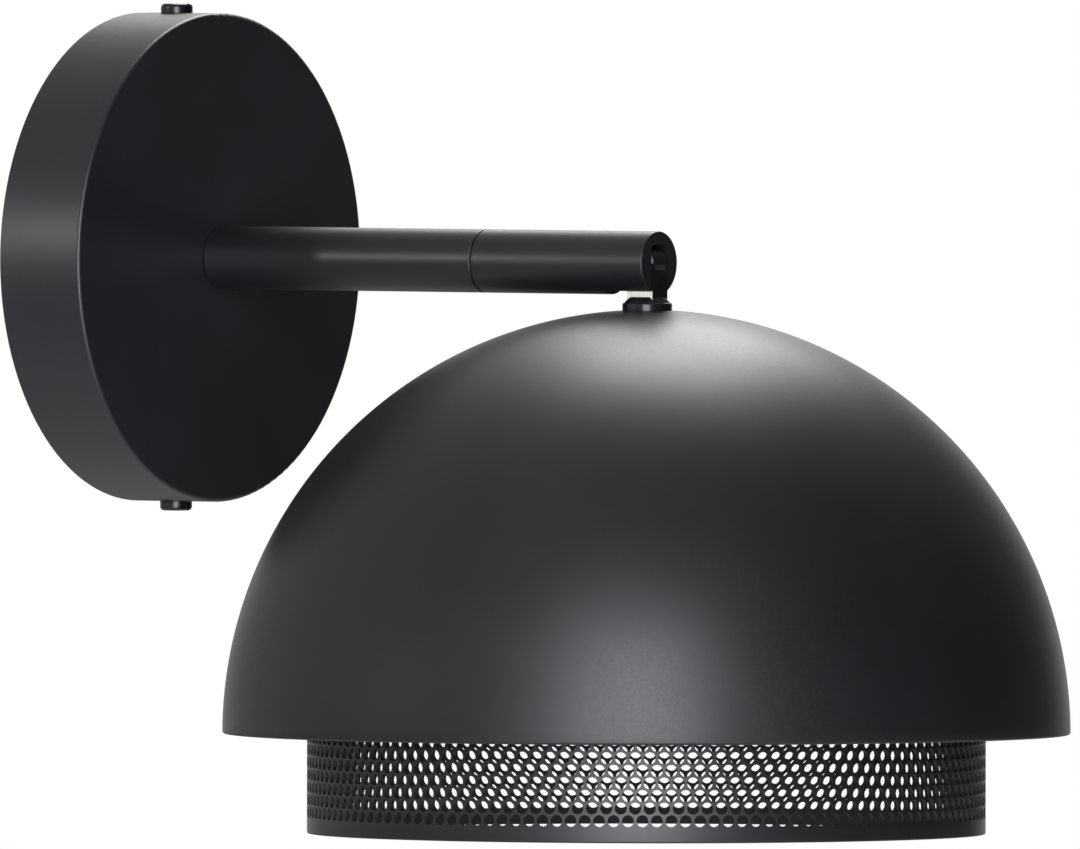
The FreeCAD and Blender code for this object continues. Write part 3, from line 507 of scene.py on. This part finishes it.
def tongue_metal(name):
    """Gloss black with a bare milled patch low on the tongue's two sides, painted near-white: partly bare metal,
    partly a painted reflection of a bright lamp.
    """
    paint = Paint(name)
    facing = paint.add("ShaderNodeSeparateXYZ")
    paint.feed(facing.inputs[0], paint.where["Normal"])
    flat = paint.between(paint.maths("ABSOLUTE", facing.outputs["X"]), 0, 1, 0.9, 0.97)
    place = paint.add("ShaderNodeSeparateXYZ")
    paint.feed(place.inputs[0], paint.where["Object"])
    above_foot = paint.between(place.outputs["Z"], 0, 1, TONGUE_FOOT,
                               TONGUE_FOOT + BARE_AND_REFLECTION_FADE)
    reach = paint.maths("ABSOLUTE", paint.maths("SUBTRACT", place.outputs["Y"], PIVOT[1]))
    inside = paint.between(reach, 1, 0, BARE_AND_REFLECTION_REACH, BARE_AND_REFLECTION_REACH + BARE_AND_REFLECTION_FADE)
    under_head = paint.between(place.outputs["Z"], 1, 0, BARE_AND_REFLECTION_TOP, BARE_AND_REFLECTION_TOP + BARE_AND_REFLECTION_FADE)
    # Mask of the painted reflection on the bare milled sides, kept under the arm head and above the foot.
    bare_and_reflection = paint.maths("MULTIPLY", paint.maths("MULTIPLY", flat, above_foot),
                       paint.maths("MULTIPLY", inside, under_head))
    mill = paint.noise(0.25 * MM, detail=3.0, stretch=(1, 1, 0.15))
    cloud = paint.noise(8 * MM)
    black = paint.colours(cloud, ink(0.006), ink(0.010))
    # Near-white cream tone: the bare metal's colour with a painted reflection of a bright lamp in it.
    bare_and_reflection_tone = paint.colours(mill, (0.84, 0.80, 0.66, 1), (0.97, 0.95, 0.88, 1))
    tone = paint.add("ShaderNodeMix", data_type="RGBA")
    for socket, source in (("Factor", bare_and_reflection), ("A", black), ("B", bare_and_reflection_tone)):
        paint.feed(tone.inputs[socket], source)
    rough = paint.maths("ADD", paint.between(bare_and_reflection, 0.24, 0.42, 0, 1),
                        paint.between(cloud, -0.03, 0.03))
    paint.feed(paint.shader.inputs["Metallic"], paint.maths("MULTIPLY", bare_and_reflection, BARE_AND_REFLECTION_METALLIC))
    paint.relief(mill, 0.006 * MM, 0.5)
    return paint.finish(tone.outputs["Result"], rough)


def make_materials():
    """One material for each of the record's material slots."""
    return {
        # The cup, arm and shade wear one black coat; the cup's and arm's lighter levels are painted light,
        # standing for the brighter light they catch.
        "cup_paint": powder_coat("cup_paint", 0.012, 0.38, 0.42),
        "arm_paint": powder_coat("arm_paint", 0.008, 0.38, 0.42, peel=0.6 * MM),
        "shade_paint": powder_coat("shade_paint", 0.0065, 0.40, 0.44),
        "drum_paint": powder_coat("drum_paint", 0.0065, 0.40, 0.44, peel=0.5 * MM,
                                  dull_inside=0.5),
        "inner_paint": powder_coat("inner_paint", 0.010, 0.46, 0.54),
        "screw_black": powder_coat("screw_black", 0.006, 0.26, 0.32, peel=0.4 * MM),
        "tongue_metal": tongue_metal("tongue_metal"),
        "zinc_steel": plated("zinc_steel", (0.66, 0.68, 0.70, 1), (0.52, 0.53, 0.52, 1),
                             0.28, 0.42, (1, 0.2, 1)),
        "brass": plated("brass", (0.83, 0.66, 0.36, 1), (0.66, 0.48, 0.22, 1),
                        0.24, 0.36, (1, 6, 1)),
        "terminal_plastic": moulded("terminal_plastic", (0.80, 0.79, 0.73, 1),
                                    (0.72, 0.70, 0.63, 1), 0.4, 0.5),
        "holder_plastic": moulded("holder_plastic", ink(0.012), ink(0.007), 0.22, 0.32),
        "core_ceramic": ceramic("core_ceramic"),
        "nylon": moulded("nylon", (0.74, 0.73, 0.67, 1), (0.66, 0.64, 0.57, 1),
                         0.42, 0.52),
        "lead_sleeve": woven_sleeve("lead_sleeve"),
    }


def dress(piece, material):
    piece.data.materials.clear()
    piece.data.materials.append(material)


# Camera ---------------------------------------------------------------------------------
IMAGE_WIDTH = 1080
SENSOR_WIDTH = 36.0
VIEW_AZIMUTH = -55.3
VIEW_ELEVATION = 1.25
VIEW_ROLL = 0.1
VIEW_DISTANCE = 10.0
PIXELS_PER_METRE = 4243
NEAREST = 0.1
FARTHEST = 100.0
LOOK_AT = Vector((0, -0.146, -0.060))
LOOK_AT_PIXEL = (646.8, 517.5)
IMAGE_CENTRE = (540.0, 424.5)


def bearing(azimuth, elevation):
    """The direction towards a viewer at that azimuth and elevation in degrees."""
    turn, rise = math.radians(azimuth), math.radians(elevation)
    return Vector((math.sin(turn) * math.cos(rise), -math.cos(turn) * math.cos(rise),
                   math.sin(rise)))


TO_CAMERA = bearing(VIEW_AZIMUTH, 0)
TO_RIGHT = bearing(VIEW_AZIMUTH + 90, 0)


def make_camera():
    """A far camera that puts one point of the shade's axis on its own pixel."""
    back = bearing(VIEW_AZIMUTH, VIEW_ELEVATION)
    level = UP.cross(back).normalized()
    roll = math.radians(VIEW_ROLL)
    right = math.cos(roll) * level + math.sin(roll) * back.cross(level)
    above = back.cross(right)
    across = (LOOK_AT_PIXEL[0] - IMAGE_CENTRE[0]) / PIXELS_PER_METRE
    down = (LOOK_AT_PIXEL[1] - IMAGE_CENTRE[1]) / PIXELS_PER_METRE
    target = LOOK_AT - across * right + down * above
    place = LOOK_AT + VIEW_DISTANCE * back
    towards = (place - target).normalized()
    right = (right - right.dot(towards) * towards).normalized()
    above = towards.cross(right)
    data = bpy.data.cameras.new("camera")
    data.sensor_width = SENSOR_WIDTH
    data.lens = PIXELS_PER_METRE * VIEW_DISTANCE * SENSOR_WIDTH / IMAGE_WIDTH
    data.clip_start = NEAREST
    data.clip_end = FARTHEST
    camera = bpy.data.objects.new("camera", data)
    turn = Matrix((right, above, towards)).transposed().to_4x4()
    camera.matrix_world = Matrix.Translation(place) @ turn
    bpy.context.scene.collection.objects.link(camera)
    bpy.context.scene.camera = camera


# Studio ---------------------------------------------------------------------------------
FLOOR_DROP = 1.0
FLOOR_SIZE = 12.0
AMBIENT = 0.2
WALL_GLOW = 0.42
DARK_SIDE = 0.0
ROOM_FADE = (-0.4, 1.0)
BACKDROP_CONE = (0.85, 0.98)
LAMP_AIM = Vector((0, -0.13, -0.05))
CUP_MIDDLE = Vector((0.02, -0.005, 0.01))
BEAM_SIZE = 0.30


def make_floor():
    half = FLOOR_SIZE / 2
    mesh = bpy.data.meshes.new("floor")
    mesh.from_pydata([(-half, -half, -FLOOR_DROP), (half, -half, -FLOOR_DROP),
                      (half, half, -FLOOR_DROP), (-half, half, -FLOOR_DROP)],
                     [], [(0, 1, 2, 3)])
    floor = bpy.data.objects.new("floor", mesh)
    bpy.context.scene.collection.objects.link(floor)
    paint = Paint("floor_paper")
    fibre = paint.noise(3 * MM)
    paper = paint.colours(paint.noise(0.5), (0.80, 0.80, 0.80, 1), (0.84, 0.84, 0.84, 1))
    paint.relief(fibre, 0.05 * MM, 0.3)
    floor.data.materials.append(paint.finish(paper, 0.8))


def make_world():
    """White to the camera and straight behind the part, for mirrors and glass a pale
    room that darkens to the right, and an even soft light on everything else."""
    world = bpy.data.worlds.new("studio")
    world.use_nodes = True
    tree = world.node_tree

    def add(kind, **settings):
        node = tree.nodes.new(kind)
        for name, setting in settings.items():
            setattr(node, name, setting)
        return node

    def along(direction):
        """How far a ray heads along a direction, from -1 to 1."""
        node = add("ShaderNodeVectorMath", operation="DOT_PRODUCT")
        tree.links.new(heading, node.inputs[0])
        node.inputs[1].default_value = direction
        return node.outputs["Value"]

    def ramp(source, start, end, low, high, kind="LINEAR"):
        node = add("ShaderNodeMapRange", interpolation_type=kind)
        tree.links.new(source, node.inputs["Value"])
        for name, number in (("From Min", start), ("From Max", end),
                             ("To Min", low), ("To Max", high)):
            node.inputs[name].default_value = number
        return node.outputs["Result"]

    def larger(first, second):
        node = add("ShaderNodeMath", operation="MAXIMUM")
        tree.links.new(first, node.inputs[0])
        tree.links.new(second, node.inputs[1])
        return node.outputs[0]

    def either(share, low, high):
        """A number from low to high, each a plain level or a socket."""
        node = add("ShaderNodeMix", data_type="FLOAT")
        tree.links.new(share, node.inputs["Factor"])
        for name, end in (("A", low), ("B", high)):
            if isinstance(end, float):
                node.inputs[name].default_value = end
            else:
                tree.links.new(end, node.inputs[name])
        return node.outputs[0]

    heading = add("ShaderNodeTexCoord").outputs["Generated"]
    path = add("ShaderNodeLightPath").outputs
    room = ramp(along(TO_RIGHT), *ROOM_FADE, WALL_GLOW, DARK_SIDE)
    backdrop = ramp(along(-TO_CAMERA), *BACKDROP_CONE, 0.0, 1.0, "SMOOTHSTEP")
    mirrored = larger(room, backdrop)
    level = either(larger(path["Is Glossy Ray"], path["Is Transmission Ray"]),
                   AMBIENT, mirrored)
    level = either(path["Is Camera Ray"], level, 1.0)
    back = tree.nodes["Background"]
    back.inputs["Color"].default_value = (1, 1, 1, 1)
    tree.links.new(level, back.inputs["Strength"])
    bpy.context.scene.world = world


def softbox(name, over, side, distance, wide, tall, glow, tint=(1, 1, 1)):
    """An area lamp that faces the part. Its place is degrees from the camera over the
    top of the part and degrees to the right, and its size is in degrees too."""
    over, side = math.radians(over), math.radians(side)
    towards = (math.cos(side) * (math.cos(over) * TO_CAMERA + math.sin(over) * UP)
               + math.sin(side) * TO_RIGHT)
    lamp = bpy.data.lights.new(name, "AREA")
    lamp.shape = "RECTANGLE"
    lamp.size = 2 * distance * math.tan(math.radians(wide) / 2)
    lamp.size_y = 2 * distance * math.tan(math.radians(tall) / 2)
    lamp.energy = glow * math.pi * lamp.size * lamp.size_y
    lamp.color = tint
    box = bpy.data.objects.new(name, lamp)
    box.location = LAMP_AIM + distance * towards
    box.rotation_mode = "QUATERNION"
    box.rotation_quaternion = towards.to_track_quat("Z", "Y")
    box.visible_camera = False
    bpy.context.scene.collection.objects.link(box)


def beam(name, elevation, side, distance, spread, watts):
    """A narrow beam on the wall cup and arm, placed by its elevation and its degrees
    to the right of the camera."""
    place = CUP_MIDDLE + distance * bearing(VIEW_AZIMUTH + side, elevation)
    lamp = bpy.data.lights.new(name, "AREA")
    lamp.shape = "RECTANGLE"
    lamp.size = BEAM_SIZE
    lamp.size_y = BEAM_SIZE
    lamp.spread = math.radians(spread)
    lamp.energy = watts
    box = bpy.data.objects.new(name, lamp)
    box.location = place
    box.rotation_mode = "QUATERNION"
    box.rotation_quaternion = (place - CUP_MIDDLE).to_track_quat("Z", "Y")
    box.visible_camera = False
    bpy.context.scene.collection.objects.link(box)


# Put together ---------------------------------------------------------------------------
materials = make_materials()
slots = {part["node"]: part["material_slot"] for part in frame["record"]["subparts"]}
for node_name, node_object in nodes.items():
    dress(node_object, materials[slots[node_name]])

for piece, node_name in ((make_dome(), "dome_shade"),
                         (DrumMesh().build(), "perforated_drum")):
    dress(piece, materials[slots[node_name]])
    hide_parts(node_name)
    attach(piece, "shade")

lead = swept("pivot_lead", lead_line(), LEAD_RADIUS, LEAD_SIDES)
dress(lead, materials["lead_sleeve"])
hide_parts("head_lead", "stem_lead")
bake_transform(lead)

make_floor()
make_world()
softbox("softbox_front", over=3, side=-3, distance=2.2, wide=30, tall=50, glow=6.6,
        tint=(1.0, 0.99, 1.06))
softbox("softbox_top", over=130, side=4, distance=1.8, wide=24, tall=42, glow=6.6)
beam("beam_left", elevation=10, side=-69, distance=1.8, spread=5.0, watts=0.03)
make_camera()

bpy.context.scene.view_settings.view_transform = "Standard"
